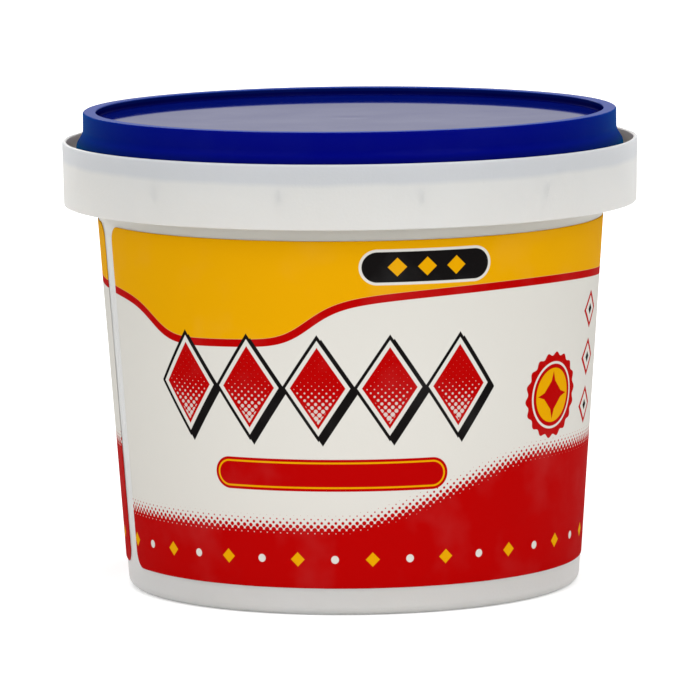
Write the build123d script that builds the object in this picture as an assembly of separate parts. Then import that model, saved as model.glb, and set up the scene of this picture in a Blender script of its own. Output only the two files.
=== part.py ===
from build123d import *
import os
from math import degrees, radians, tan

# A wall filler tub of the 1 kg size: tub, press-on lid, break-out tab, wrap label and the paste inside.
# Millimetres, +Z up. The origin is the middle of the foot, on the surface that the tub stands on.
# The front of the label faces -Y, and the break-out tab is at the back, at +Y.

# Tub: wall and floor
foot_radius = 47.2          # outside of the tapered wall, carried down to the ground
wall_draft = 4.0            # degrees that the wall leans outwards
wall = 1.0
tub_height = 98.4           # ground to the top of the rim
foot_corner = 1.8           # outside rounding under the wall
floor_corner = 1.2          # inside rounding between the floor and the wall
foot_ring_width = 2.6       # flat that the tub stands on
foot_step = 0.8             # slope of the foot ring's inner side
floor_rise = 1.2            # underside of the floor above the ground
floor_thickness = 1.1
gate_radius = 3.0           # dimple round the moulding gate, under the floor
gate_depth = 0.4

# Tub: rim that the lid snaps over
neck_wall = 0.7             # the wall above the ledge
neck_step = 1.0             # the neck stands this far outside the wall's line
bead_reach = 0.35           # the bead stands this far out of the neck, on a 45 degree underside
bead_height = 3.2
bead_rounding = 0.3
rim_rounding = 0.3

# Tub: collar round the lid's flange, and the ledge that carries it
collar_gap = 2.1            # flange to the inside of the collar, at its top edge
collar_draft = 1.0          # degrees that the collar narrows downwards
collar_wall = 0.9
collar_height = 13.2
collar_drop = 5.2           # collar's top edge below the top of the rim
collar_rounding = 0.25
ledge_gap = 1.2             # ledge below the flange's bottom edge
ledge_thickness = 1.0
ledge_rounding = 0.3
gusset_count = 12
gusset_thickness = 0.9
gusset_lift = 2.4           # gussets stop this far above the collar's bottom edge
gusset_toe = 2.0            # height of a gusset's outer end

# Break-out tab
tab_width = 27.0            # round the outside of the collar
tab_slit = 0.3
tab_notch = 2.6             # depth of the finger notch in its top edge
tab_notch_width = 13.0
tab_rib_count = 3
tab_rib_height = 0.7
tab_rib_pitch = 1.9
tab_rib_margin = 2.6        # ends of the ribs to the sides of the tab
web_height = 0.7            # webs that hold the tab in the collar until they are torn
web_thickness = 0.5
web_spread = 7.0            # height between the upper and lower webs

# Lid
lid_wall = 0.8
plug_wall = 0.7
lid_seat_gap = 0.1          # between the top of the rim and the roof of the lid's channel
bead_clearance = 0.1        # rim bead to the channel's outer wall
plug_clearance = 0.1        # rim to the plug skirt inside it
plug_depth = 7.0            # below the channel's roof
plug_lead = 0.25            # slope at the plug skirt's lower end
flange_reach = 1.4          # the flange stands out of the lid's wall by this much
flange_depth = 10.0         # top of the lid down to the flange's bottom edge
flare_drop = 4.4            # top of the lid down to where its wall starts to flare out
flare_height = 2.3          # height over which the wall flares out to the flange
flare_hollow = 3.0          # rounding where the flare starts
flare_shoulder = 2.0        # rounding where it ends
snap_clearance = 0.1        # rim bead to the lid's snap bead, drawn relaxed
snap_play = 0.9             # snap bead below the root of the rim bead
snap_width = 0.7
snap_catch = 0.4            # height of the snap bead's upper slope
flange_edge = 0.8           # its lower slope starts this far above the flange's bottom edge
panel_drop = 1.8            # the sunk panel lies this far below the land
panel_corner = 0.5
land_rounding = 0.4
skirt_rounding = 0.2
lid_gate_radius = 2.0       # faint dimple round the moulding gate, on the sunk panel
lid_gate_depth = 0.15

# Wrap label
label_thickness = 0.2
label_bond = 0.04           # adhesive between the film and the wall
label_lift = 5.7            # bottom edge above the ground
label_drop = 2.9            # top edge below the collar
label_corner = 3.5
seam_width = 5.4
seam_angle = -73.0          # degrees from the front, where minus is towards -X

# Paste
filler_clearance = 0.3
headspace = 7.0             # paste at the wall, below the ledge
swirl_crest = 1.6           # ring that the filling nozzle leaves, above that level
swirl_radius = 31.0
swirl_dip = 0.6             # trough inside the ring, above that level
swirl_peak = 2.4            # middle, above that level

# Heights that follow
channel_roof = tub_height + lid_seat_gap
lid_top = channel_roof + lid_wall
panel_top = lid_top - panel_drop
flange_bottom = lid_top - flange_depth
bead_root = tub_height - bead_height - bead_reach
ledge_top = flange_bottom - ledge_gap
ledge_bottom = ledge_top - ledge_thickness
collar_top = tub_height - collar_drop
collar_bottom = collar_top - collar_height
collar_middle = (collar_top + collar_bottom) / 2
floor_top = floor_rise + floor_thickness
label_top = collar_bottom - label_drop
filler_level = ledge_top - headspace

# Radii that follow
lean = tan(radians(wall_draft))
tilt = tan(radians(collar_draft))
neck_radius = foot_radius + ledge_top * lean + neck_step
neck_bore = neck_radius - neck_wall
bead_radius = neck_radius + bead_reach
channel_radius = bead_radius + bead_clearance
lid_radius = channel_radius + lid_wall
flange_radius = lid_radius + flange_reach
plug_radius = neck_bore - plug_clearance
plug_bore = plug_radius - plug_wall
collar_radius = flange_radius + collar_gap + collar_wall
foot_ring_bore = foot_radius - foot_corner - foot_ring_width
floor_radius = foot_ring_bore - foot_step
floor_bend = floor_thickness / 2    # the inside of the floor's step lies this far out

# Angles that follow
back = 90                   # the tab's direction, from +X
tab_half_angle = degrees(tab_width / 2 / collar_radius)
slit_angle = degrees(tab_slit / collar_radius)
overcut = 1.0               # cutting blocks run past the faces that they cut by this much


def wall_outside(height):
    return foot_radius + height * lean


def wall_inside(height):
    return wall_outside(height) - wall


def collar_outside(height):
    return collar_radius - (collar_top - height) * tilt


def collar_inside(height):
    return collar_outside(height) - collar_wall


def turned(corners):
    """A closed outline of (radius, height, rounding) corners, turned about the Z axis."""
    points = [(radius, 0, height) for radius, height, rounding in corners]
    roundings = [rounding for radius, height, rounding in corners]
    outline = FilletPolyline(*points, radius=roundings, close=True)
    return revolve(make_face(outline), axis=Axis.Z)


def sector(inner, outer, bottom, top, half_angle):
    """A block between two radii at the back, whose sides lie on planes through the Z axis."""
    middle = Pos((inner + outer) / 2, (bottom + top) / 2)
    section = Plane.XZ * middle * Rectangle(outer - inner, top - bottom)
    return Rot(Z=back - half_angle) * revolve(section, axis=Axis.Z, revolution_arc=2 * half_angle)


def gate_mark(height, radius, depth):
    """The dimple round a moulding gate, centred on the level face that it is cut into."""
    return Pos(0, 0, height) * Cylinder(radius, 2 * depth)


def make_gussets():
    """Ribs under the ledge, spread evenly round the collar but clear of the tab."""
    inner_foot = collar_bottom + gusset_lift
    outer_foot = ledge_bottom - gusset_toe
    head = ledge_bottom + ledge_thickness / 2
    outline = Polyline(
        (wall_outside(inner_foot) - wall / 2, inner_foot),
        (collar_inside(outer_foot) + collar_wall / 2, outer_foot),
        (collar_inside(head) + collar_wall / 2, head),
        (wall_outside(head) - wall / 2, head),
        close=True,
    )
    gusset = extrude(Plane.XZ * make_face(outline), gusset_thickness / 2, both=True)
    spacing = (360 - 2 * tab_half_angle) / gusset_count
    first = back + tab_half_angle + spacing / 2
    return [Rot(Z=first + index * spacing) * gusset for index in range(gusset_count)]


def make_tub():
    """Floor, wall, ledge, collar and beaded rim as one moulding, open where the tab goes."""
    moulding = turned(
        [
            (0, floor_rise, 0),
            (floor_radius, floor_rise, 0),
            (foot_ring_bore, 0, 0),
            (foot_radius, 0, foot_corner),
            (wall_outside(ledge_bottom), ledge_bottom, ledge_rounding),
            (collar_inside(ledge_bottom), ledge_bottom, ledge_rounding),
            (collar_inside(collar_bottom), collar_bottom, collar_rounding),
            (collar_outside(collar_bottom), collar_bottom, collar_rounding),
            (collar_outside(collar_top), collar_top, collar_rounding),
            (collar_inside(collar_top), collar_top, collar_rounding),
            (collar_inside(ledge_top), ledge_top, ledge_rounding),
            (neck_radius, ledge_top, ledge_rounding),
            (neck_radius, bead_root, 0),
            (bead_radius, bead_root + bead_reach, bead_rounding),
            (bead_radius, tub_height, rim_rounding),
            (neck_bore, tub_height, rim_rounding),
            (neck_bore, ledge_top, 0),
            (wall_inside(ledge_top), ledge_top, ledge_rounding),
            (wall_inside(floor_thickness), floor_thickness, floor_corner),
            (foot_ring_bore + floor_bend, floor_thickness, 0),
            (floor_radius + floor_bend, floor_top, 0),
            (0, floor_top, 0),
        ]
    )
    window = sector(
        collar_inside(collar_bottom) - tab_slit,
        collar_radius + overcut,
        collar_bottom - overcut,
        collar_top + overcut,
        tab_half_angle + slit_angle,
    )
    return moulding + make_gussets() - window - gate_mark(floor_rise, gate_radius, gate_depth)


def make_tab():
    """The break-out piece of the collar, with grip ribs, a finger notch and four tear webs."""
    band = turned(
        [
            (collar_inside(collar_bottom), collar_bottom, collar_rounding),
            (collar_outside(collar_bottom), collar_bottom, collar_rounding),
            (collar_outside(collar_top), collar_top, collar_rounding),
            (collar_inside(collar_top), collar_top, collar_rounding),
        ]
    )
    slot = sector(
        neck_radius, collar_radius + overcut, collar_bottom - overcut, collar_top + overcut, tab_half_angle
    )
    tab = band & slot
    rib_half_angle = tab_half_angle - degrees(tab_rib_margin / collar_radius)
    for index in range(tab_rib_count):
        height = collar_middle - (index + 0.5) * tab_rib_pitch
        tab += sector(
            collar_outside(height) - collar_wall / 2,
            collar_outside(collar_top),
            height - tab_rib_height / 2,
            height + tab_rib_height / 2,
            rib_half_angle,
        )
    notch = Plane.XZ * Pos(0, collar_top) * Ellipse(tab_notch_width / 2, tab_notch)
    tab -= extrude(notch, -2 * collar_radius)
    web_radius = collar_outside(collar_middle) - collar_wall / 2
    for height in (collar_middle - web_spread / 2, collar_middle + web_spread / 2):
        tab += sector(
            web_radius - web_thickness / 2,
            web_radius + web_thickness / 2,
            height - web_height / 2,
            height + web_height / 2,
            tab_half_angle + slit_angle,
        )
    return tab


def make_lid():
    """Sunk panel, raised land, channel over the rim, plug skirt inside it and flared flange outside."""
    flange_bore = flange_radius - lid_wall
    flare_top = lid_top - flare_drop
    snap_radius = bead_radius + snap_clearance
    snap_top = bead_root - snap_play
    snap_root = snap_top + snap_catch
    snap_root_radius = channel_radius + flange_reach * (flare_top - snap_root) / flare_height
    plug_bottom = channel_roof - plug_depth
    shell = turned(
        [
            (0, panel_top, 0),
            (plug_bore, panel_top, panel_corner),
            (plug_bore, lid_top, land_rounding),
            (lid_radius, lid_top, land_rounding),
            (lid_radius, flare_top, flare_hollow),
            (flange_radius, flare_top - flare_height, flare_shoulder),
            (flange_radius, flange_bottom, skirt_rounding),
            (flange_bore, flange_bottom, skirt_rounding),
            (flange_bore, flange_bottom + flange_edge, 0),
            (snap_radius, snap_top - snap_width, 0),
            (snap_radius, snap_top, 0),
            (snap_root_radius, snap_root, 0),
            (channel_radius, flare_top, 0),
            (channel_radius, channel_roof, skirt_rounding),
            (plug_radius, channel_roof, skirt_rounding),
            (plug_radius, plug_bottom + 2 * plug_lead, 0),
            (plug_radius - plug_lead, plug_bottom, skirt_rounding),
            (plug_bore, plug_bottom, skirt_rounding),
            (plug_bore, panel_top - lid_wall, skirt_rounding),
            (0, panel_top - lid_wall, 0),
        ]
    )
    return shell - gate_mark(panel_top, lid_gate_radius, lid_gate_depth)


def make_label():
    """The film round the wall, with rounded corners and a bare seam between its two ends."""
    film = turned(
        [
            (wall_outside(height) + label_bond + depth, height, 0)
            for height, depth in (
                (label_lift, 0),
                (label_lift, label_thickness),
                (label_top, label_thickness),
                (label_top, 0),
            )
        ]
    )
    height = label_top - label_lift
    end_length = seam_width + 4 * label_corner
    end = RectangleRounded(end_length, height, label_corner)
    seam = Rectangle(seam_width + 2 * label_corner, height + overcut)
    for side in (-1, 1):
        seam -= Pos(side * (seam_width + end_length) / 2, 0) * end
    cutter = extrude(Plane.XZ * Pos(0, (label_top + label_lift) / 2) * seam, 2 * foot_radius)
    return film - Rot(Z=seam_angle) * cutter


def make_filler():
    """The paste: it fills the tub up to its level, with the low ring and peak of a filling nozzle."""
    side = FilletPolyline(
        (0, 0, floor_top),
        (floor_radius + floor_bend + filler_clearance, 0, floor_top),
        (foot_ring_bore + floor_bend + filler_clearance, 0, floor_thickness),
        (wall_inside(floor_thickness) - filler_clearance, 0, floor_thickness),
        (wall_inside(filler_level) - filler_clearance, 0, filler_level),
        radius=[0, 0, floor_corner],
    )
    surface = Spline(
        side @ 1,
        (swirl_radius, 0, filler_level + swirl_crest),
        (swirl_radius / 2, 0, filler_level + swirl_dip),
        (0, 0, filler_level + swirl_peak),
        tangents=((-1, 0, 0), (-1, 0, 0)),
    )
    middle = Line(surface @ 1, side @ 0)
    return revolve(make_face(side + surface + middle), axis=Axis.Z)


os.makedirs("parts", exist_ok=True)
export_step(make_tub(), "parts/tub.step")
export_step(make_tab(), "parts/tamper_tab.step")
export_step(make_lid(), "parts/lid.step")
export_step(make_label(), "parts/wrap_label.step")
export_step(make_filler(), "parts/filler.step")
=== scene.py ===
# A wall filler tub with a blue press-on lid, a printed label, a break-out tab and the paste inside.
import math
import bpy
import numpy as np
from mathutils import Matrix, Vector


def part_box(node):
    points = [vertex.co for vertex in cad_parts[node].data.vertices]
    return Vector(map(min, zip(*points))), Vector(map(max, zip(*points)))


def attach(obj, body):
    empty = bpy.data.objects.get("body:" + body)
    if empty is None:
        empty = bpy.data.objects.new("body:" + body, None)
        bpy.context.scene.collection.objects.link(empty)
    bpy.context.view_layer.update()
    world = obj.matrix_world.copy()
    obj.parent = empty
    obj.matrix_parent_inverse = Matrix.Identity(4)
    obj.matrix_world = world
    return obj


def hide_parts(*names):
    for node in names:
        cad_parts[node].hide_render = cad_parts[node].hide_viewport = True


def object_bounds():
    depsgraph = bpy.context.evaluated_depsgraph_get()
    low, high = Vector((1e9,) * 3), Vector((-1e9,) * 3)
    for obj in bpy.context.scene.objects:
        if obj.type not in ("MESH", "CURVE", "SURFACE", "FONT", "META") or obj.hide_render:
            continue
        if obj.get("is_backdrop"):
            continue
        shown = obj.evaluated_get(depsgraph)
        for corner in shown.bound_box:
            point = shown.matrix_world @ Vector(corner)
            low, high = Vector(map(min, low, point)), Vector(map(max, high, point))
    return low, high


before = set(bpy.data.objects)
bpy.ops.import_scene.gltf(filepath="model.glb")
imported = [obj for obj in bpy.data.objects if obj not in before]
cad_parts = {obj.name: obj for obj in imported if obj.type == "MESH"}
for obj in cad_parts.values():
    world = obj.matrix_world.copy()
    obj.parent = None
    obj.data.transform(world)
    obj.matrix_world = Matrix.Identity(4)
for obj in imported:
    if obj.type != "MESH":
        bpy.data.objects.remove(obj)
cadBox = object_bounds()
scene = bpy.context.scene
mm = 0.001  # shapes are worked out in millimetres and put into meshes in metres
turn = 2 * math.pi
back = math.pi / 2  # direction of the break-out tab, from +X
front = -math.pi / 2  # direction of the label's front
sharpBend = math.radians(38)  # edges that bend more than this stay sharp


def nodeBox(node):
    # Lowest and highest corner of a solid at rest: metres divided by mm.
    low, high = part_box(node)
    return np.array(low) / mm, np.array(high) / mm


tubHigh = nodeBox("tub")[1]
lidLow, lidHigh = nodeBox("lid")
tabLow, tabHigh = nodeBox("tamper_tab")
labelLow, labelHigh = nodeBox("wrap_label")
pasteHigh = nodeBox("filler")[1]


# Shapes: every surface is a grid of points, worked out as whole arrays

def eased(share):
    # Smooth step: 3 share ** 2 - 2 share ** 3, for arrays and for values in a material.
    return share * share * (3 - 2 * share)


def arcs(corners, steps, support):
    # Each inner corner (across, up, rounding) of a broken line becomes an arc. It starts
    # rounding * tan(bend / 2) before the corner, and turns evenly about a centre that lies the
    # rounding to the side of its start. A support point stands on each run beside the arc.
    corners = np.asarray(corners, float)
    place, rounding = corners[:, :2], corners[1:-1, 2:]
    runs = np.diff(place, axis=0)
    length = np.linalg.norm(runs, axis=1, keepdims=True)
    way = runs / length
    arriving, leaving = way[:-1], way[1:]
    bend = np.arctan2(
        arriving[:, 0] * leaving[:, 1] - arriving[:, 1] * leaving[:, 0],
        (arriving * leaving).sum(1),
    )[:, None]
    reach = rounding * np.tan(abs(bend) / 2)
    start = place[1:-1] - arriving * reach
    side = np.stack([-arriving[:, 1], arriving[:, 0]], 1) * rounding * np.sign(bend)
    angle = bend * np.linspace(0, 1, steps)
    cos, sin = np.cos(angle)[..., None], np.sin(angle)[..., None]
    across, up = side[:, None, :1], side[:, None, 1:]
    turned = np.concatenate([across * cos - up * sin, across * sin + up * cos], 2)
    arc = (start + side)[:, None] - turned
    before = start - arriving * np.minimum(support, 0.3 * length[:-1])
    after = place[1:-1] + leaving * (reach + np.minimum(support, 0.3 * length[1:]))
    return np.concatenate([before[:, None], arc, after[:, None]], 1).reshape(-1, 2)


def distinct(line):
    # Drops each point that lies on the one before it.
    step = np.linalg.norm(np.diff(line, axis=0), axis=1)
    return line[np.concatenate([[True], step > 1e-5])]


def openLine(corners, steps=6, support=0.15):
    # The broken line with its inner corners rounded, from its first corner to its last.
    ends = np.asarray(corners, float)[:, :2]
    return distinct(np.concatenate([ends[:1], arcs(corners, steps, support), ends[-1:]]))


def closedLine(corners, steps=6, support=0.15):
    # The closed outline with every corner rounded.
    corners = np.asarray(corners, float)
    line = arcs(np.concatenate([corners[-1:], corners, corners[:1]]), steps, support)
    return distinct(np.concatenate([line, line[:1]]))[:-1]


def turnedGrid(line, angles):
    # A point of the line at radius r and height z, turned by an angle a, is (r cos a, r sin a, z).
    radius, height = line[:, :1], line[:, 1:]
    return np.stack([radius * np.cos(angles), radius * np.sin(angles), height + 0 * angles], 2)


def gridNumbers(points):
    # Number of each grid point, where a row that has shrunk to one point has one number.
    numbers = np.arange(points.shape[0] * points.shape[1]).reshape(points.shape[:2])
    pole = np.ptp(points, axis=1).max(1) < 1e-6
    numbers[pole] = numbers[pole, :1]
    return numbers


def gridFaces(numbers, around=True, rowsAround=False, keep=None):
    # Four neighbours make a face, which faces away from the axis where rows climb and columns turn
    # left. Beside a pole, two of the four are one point, and the face is a triangle.
    across = np.roll(numbers, -1, 1) if around else numbers[:, 1:]
    here = numbers if around else numbers[:, :-1]
    if rowsAround:
        quads = np.stack([here, across, np.roll(across, -1, 0), np.roll(here, -1, 0)], 2)
    else:
        quads = np.stack([here[:-1], across[:-1], across[1:], here[1:]], 2)
    quads = quads.reshape(-1, 4) if keep is None else quads[keep]
    lowPole = quads[:, 0] == quads[:, 1]
    highPole = quads[:, 2] == quads[:, 3]
    return [quads[~(lowPole | highPole)], quads[lowPole][:, 1:], quads[highPole][:, :3]]


def carriedShape(points):
    # A closed section, one row for each of its points, carried along the columns, with two ends.
    numbers = gridNumbers(points)
    ends = [numbers[None, :, 0], numbers[None, ::-1, -1]]
    return points, gridFaces(numbers, around=False, rowsAround=True) + ends


def joined(shapes):
    # One list of points and one of faces, whose numbers move on by the points before their shape.
    places, faces, first = [], [], 0
    for points, groups in shapes:
        places.append(points.reshape(-1, 3))
        faces += [group + first for group in groups]
        first += len(places[-1])
    return np.concatenate(places), faces


def newObject(name, data):
    # An object at the origin, unturned, in the scene.
    made = bpy.data.objects.new(name, data)
    scene.collection.objects.link(made)
    return made


def makePiece(name, points, faces, body, slot, node, material):
    # Puts points and faces into a mesh, without the points that no face uses.
    corners = np.concatenate([group.ravel() for group in faces])
    sizes = np.concatenate([np.full(len(group), group.shape[1]) for group in faces])
    used, corners = np.unique(corners, return_inverse=True)
    mesh = bpy.data.meshes.new(name)
    mesh.vertices.add(len(used))
    mesh.vertices.foreach_set("co", (points.reshape(-1, 3)[used] * mm).ravel())
    mesh.loops.add(len(corners))
    mesh.loops.foreach_set("vertex_index", corners.ravel().astype(np.int32))
    mesh.polygons.add(len(sizes))
    mesh.polygons.foreach_set("loop_start", (np.cumsum(sizes) - sizes).astype(np.int32))
    mesh.update(calc_edges=True)
    mesh.validate()
    mesh.shade_smooth()
    mesh.set_sharp_from_angle(angle=sharpBend)
    mesh.materials.append(material)
    piece = newObject(name, mesh)
    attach(piece, body)
    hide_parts(node)
    print(f"{name}: {len(used)} points, {len(sizes)} faces")
    return piece


# Materials: sums on sockets, and one method for every other node

def mathMethod(operation, reflected=False):
    # A method that adds a Math node for a value and another, or for the other and the value.
    def method(self, other):
        return self.shader.math(operation, *((other, self) if reflected else (self, other)))
    return method


class Value:
    # A number that varies over a surface. An operator on it adds a Math node and gives its result.
    def __init__(self, shader, socket):
        self.shader, self.socket = shader, socket

    __add__ = __radd__ = mathMethod("ADD")
    __mul__ = __rmul__ = mathMethod("MULTIPLY")
    __sub__, __rsub__ = mathMethod("SUBTRACT"), mathMethod("SUBTRACT", True)
    __truediv__, __rtruediv__ = mathMethod("DIVIDE"), mathMethod("DIVIDE", True)
    smaller, larger = mathMethod("MINIMUM"), mathMethod("MAXIMUM")

    def math(self, operation, *others):
        return self.shader.math(operation, self, *others)

    def __abs__(self):
        return self.math("ABSOLUTE")

    def fraction(self):
        return self.math("FRACT")

    def hypot(self, other):
        # root(self ** 2 + other ** 2).
        return (self * self + other * other).math("SQRT")

    def clamped(self):
        # Held between 0 and 1.
        return self.shader.node("ShaderNodeClamp", {}, {"Value": self})

    def inside(self, soft):
        # 1 where this distance is below zero and 0 above it, with an edge as wide as soft.
        return (0.5 - self / soft).clamped()


class Shader:
    # The nodes of a material, or of the world, under construction.
    def __init__(self, owner):
        self.owner = owner
        owner.use_nodes = True
        self.tree = owner.node_tree
        self.tree.nodes.clear()

    def node(self, kind, settings, inputs, output=0):
        # Adds a node, sets its settings, then its sockets' values or links, and gives an output.
        made = self.tree.nodes.new(kind)
        for key, value in settings.items():
            setattr(made, key, value)
        for key, value in inputs.items():
            if isinstance(value, Value):
                self.tree.links.new(value.socket, made.inputs[key])
            else:
                made.inputs[key].default_value = value
        return Value(self, made.outputs[output]) if made.outputs else None

    def math(self, operation, *numbers):
        return self.node("ShaderNodeMath", {"operation": operation}, dict(enumerate(numbers)))

    def mix(self, below, above, mask):
        # The colour below, covered by the colour above where the mask is 1.
        below, above = ((*c, 1) if isinstance(c, tuple) else c for c in (below, above))
        return self.node("ShaderNodeMix", {"data_type": "RGBA"}, {0: mask, 6: below, 7: above}, 2)

    def place(self):
        # Place on the object, in metres, the same wherever the object goes.
        return self.node("ShaderNodeTexCoord", {}, {}, "Object")

    def axes(self, vector):
        # The three numbers of a vector.
        split = self.node("ShaderNodeSeparateXYZ", {}, {0: vector})
        return [Value(self, axis) for axis in split.socket.node.outputs]

    def noise(self, place, scale, detail):
        # Clouds from 0 to 1, of this many to the metre.
        sockets = {"Vector": place, "Scale": scale, "Detail": detail}
        return self.node("ShaderNodeTexNoise", {}, sockets, "Fac")

    def stretched(self, place, scale):
        # Each number of the place times its own scale.
        return self.node("ShaderNodeMapping", {}, {"Vector": place, "Scale": scale})

    def bump(self, height, distance):
        # A normal that leans with the slope of a relief, this many metres high.
        return self.node("ShaderNodeBump", {}, {"Height": height, "Distance": distance})

    def finish(self, **sockets):
        # Sends a Principled BSDF with these sockets to the output, and gives the material.
        named = {key.replace("_", " "): value for key, value in sockets.items()}
        surface = self.node("ShaderNodeBsdfPrincipled", {}, named)
        self.node("ShaderNodeOutputMaterial", {}, {"Surface": surface})
        return self.owner


def newShader(name):
    # The shader of a new material.
    return Shader(bpy.data.materials.new(name))


# Camera: the photograph's, fitted to the rim, collar and foot ellipses

view = {
    "place": (0.0, -1306.65, 213.08),  # mm
    "down": 7.179,  # degrees
    "right": -0.017,
    "roll": -0.573,
    "focal": 6285.4,  # in pixels of the photograph
    "picture": 700,  # its width in pixels
    "sensor": 36.0,  # mm
    "clip": (0.05, 20),  # m
}


def putInScene(name, data, place, across, ahead):
    # Its X axis lies along across, it looks along ahead, and their cross product is its Y axis.
    matrix = np.eye(4)
    matrix[:3] = np.stack([across, np.cross(across, ahead), -ahead, place], 1)
    holder = newObject(name, data)
    holder.matrix_world = Matrix(matrix.tolist())
    return holder


def makeCamera():
    # It looks along (sin right cos down, cos right cos down, -sin down), and its level axis is
    # turned towards its upright one by the roll. The lens is focal / picture * sensor.
    down, right, roll = (math.radians(view[key]) for key in ("down", "right", "roll"))
    level = math.cos(down)
    ahead = np.array([math.sin(right) * level, math.cos(right) * level, -math.sin(down)])
    across = np.array([math.cos(right), -math.sin(right), 0])
    across = math.cos(roll) * across + math.sin(roll) * np.cross(across, ahead)
    data = bpy.data.cameras.new("camera")
    data.sensor_width = view["sensor"]
    data.lens = view["focal"] * view["sensor"] / view["picture"]
    data.clip_start, data.clip_end = view["clip"]
    place = np.array(view["place"]) * mm
    scene.camera = putInScene("camera", data, place, across, ahead)
    scene.view_settings.view_transform = "Standard"
    print("camera: lens", round(data.lens, 2), "mm")


# Studio: a white floor and world for the eye and for gloss, and soft lamps all round the object

studio = {
    "ambient": 0.47,  # world's light on the object
    "floorSize": 9.0,  # m
    "floorColour": (0.85, 0.85, 0.85),
    "floorDrop": 0.02,  # mm, the floor lies this far below the foot
    "glowNear": 0.40,  # what the eye sees by the object, besides the light on the floor
    "glowFar": 0.62,  # and away from it
    "glowEdge": (0.1, 0.6),  # m from the middle, where near passes into far
    "lamps": {  # place in m, size in m, watts
        "overhead": ((0.0, -0.15, 1.5), 1.1, 12),
        "key": ((0.9, -1.3, 0.75), 1.4, 11),
        "fill": ((-1.1, -1.1, 0.65), 1.3, 6.5),
        "rear": ((-0.3, 1.4, 0.95), 1.1, 5.5),
    },
    "aim": (0.0, 0.0, 0.05),  # m, what the lamps point at
}


def seenRays(shader):
    # 1 for rays from the camera, and for those that gloss or clear plastic sends on.
    kinds = ("Is Camera Ray", "Is Glossy Ray", "Is Transmission Ray")
    camera, gloss, through = (shader.node("ShaderNodeLightPath", {}, {}, kind) for kind in kinds)
    return camera.larger(gloss).larger(through)


def makeWorld():
    # White, with a strength of 1 for seen rays and of the ambient light for all others.
    sky = Shader(bpy.data.worlds.new("studio"))
    strength = studio["ambient"] + (1 - studio["ambient"]) * seenRays(sky)
    light = sky.node("ShaderNodeBackground", {}, {"Color": (1, 1, 1, 1), "Strength": strength})
    sky.node("ShaderNodeOutputWorld", {}, {"Surface": light})
    scene.world = sky.owner


def floorWhite():
    # A dull white, plus a glow for seen rays that passes from near to far with the distance.
    ground = newShader("floorWhite")
    x, y, _ = ground.axes(ground.place())
    start, end = studio["glowEdge"]
    away = ((x.hypot(y) - start) / (end - start)).clamped()
    white = ground.mix((studio["glowNear"],) * 3, (studio["glowFar"],) * 3, away)
    sockets = {"Color": white, "Strength": seenRays(ground)}
    glow = ground.node("ShaderNodeEmission", {}, sockets)
    lit = ground.node("ShaderNodeBsdfDiffuse", {}, {"Color": (*studio["floorColour"], 1)})
    both = ground.node("ShaderNodeAddShader", {}, {0: lit, 1: glow})
    ground.node("ShaderNodeOutputMaterial", {}, {"Surface": both})
    return ground.owner


def makeStudio():
    # The floor is one square, and each lamp is a disc that points at the aim.
    makeWorld()
    half, low = studio["floorSize"] / 2, -studio["floorDrop"] * mm
    mesh = bpy.data.meshes.new("floor")
    corners = [(-half, -half, low), (half, -half, low), (half, half, low), (-half, half, low)]
    mesh.from_pydata(corners, [], [(0, 1, 2, 3)])
    mesh.materials.append(floorWhite())
    floor = newObject("floor", mesh)
    floor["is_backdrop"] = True
    for name, (place, size, watts) in studio["lamps"].items():
        lamp = bpy.data.lights.new(name, "AREA")
        lamp.shape, lamp.size, lamp.energy = "DISK", size, watts
        ahead = np.array(studio["aim"]) - np.array(place)
        ahead /= np.linalg.norm(ahead)
        across = np.cross(ahead, (0, 1, 0.001))
        putInScene(name, lamp, place, across / np.linalg.norm(across), ahead)
    print("studio: floor, world and", len(studio["lamps"]), "lamps")


# Tub: floor, wall, ledge, collar and beaded rim as one moulding

tub = {
    "footRadius": 47.2,  # outside of the wall, carried down to the ground
    "draft": 4.0,  # degrees that the wall leans outwards
    "wall": 1.0,
    "neckWall": 0.7,  # above the ledge
    "neckStep": 1.0,  # the neck stands this far outside the wall's line
    "footCorner": 1.8,
    "floorCorner": 1.2,
    "ringWidth": 2.6,
    "ringStep": 0.8,
    "floorRise": 1.2,
    "floorThickness": 1.1,
    "gateRadius": 3.0,
    "gateDepth": 0.4,
    "beadReach": 0.35,
    "beadHeight": 3.2,
    "beadRounding": 0.3,
    "rimRounding": 0.3,
    "collarWall": 0.9,
    "collarDraft": 1.0,  # degrees that the collar narrows downwards
    "collarRounding": 0.25,
    "ledgeGap": 1.2,  # ledge below the lid's flange
    "ledgeThickness": 1.0,
    "ledgeRounding": 0.3,
    "gussets": 12,
    "gussetThickness": 0.9,
    "gussetLift": 2.4,
    "gussetToe": 2.0,
    "gussetEdge": 0.12,  # width of the bevel along its outline
    "gussetDraw": 0.96,  # size of its two faces as a share of the outline
    "slit": 0.3,  # between the tab and the collar
    "columns": 288,  # of the grid round the tub
    "windowColumns": 20,  # and of its part at the tab's window
}
lean = math.tan(math.radians(tub["draft"]))
tilt = math.tan(math.radians(tub["collarDraft"]))
collarBottom, collarTop = tabLow[2], tabHigh[2]
collarMiddle = (collarBottom + collarTop) / 2
collarRadius = tubHigh[0] + tub["collarRounding"] * tilt  # before its top edge is rounded
ledgeTop = lidLow[2] - tub["ledgeGap"]
ledgeBottom = ledgeTop - tub["ledgeThickness"]
neckRadius = tub["footRadius"] + ledgeTop * lean + tub["neckStep"]
tabHalf = math.asin(tabHigh[0] / (collarRadius - tub["collarWall"] / 2))  # half its angle
ringBore = tub["footRadius"] - tub["footCorner"] - tub["ringWidth"]
floorTop = tub["floorRise"] + tub["floorThickness"]


def wallOutside(height):
    # Radius of the wall's cone: the foot's, plus the height times the lean.
    return tub["footRadius"] + height * lean


def wallInside(height):
    # The outside, less the wall.
    return wallOutside(height) - tub["wall"]


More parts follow.
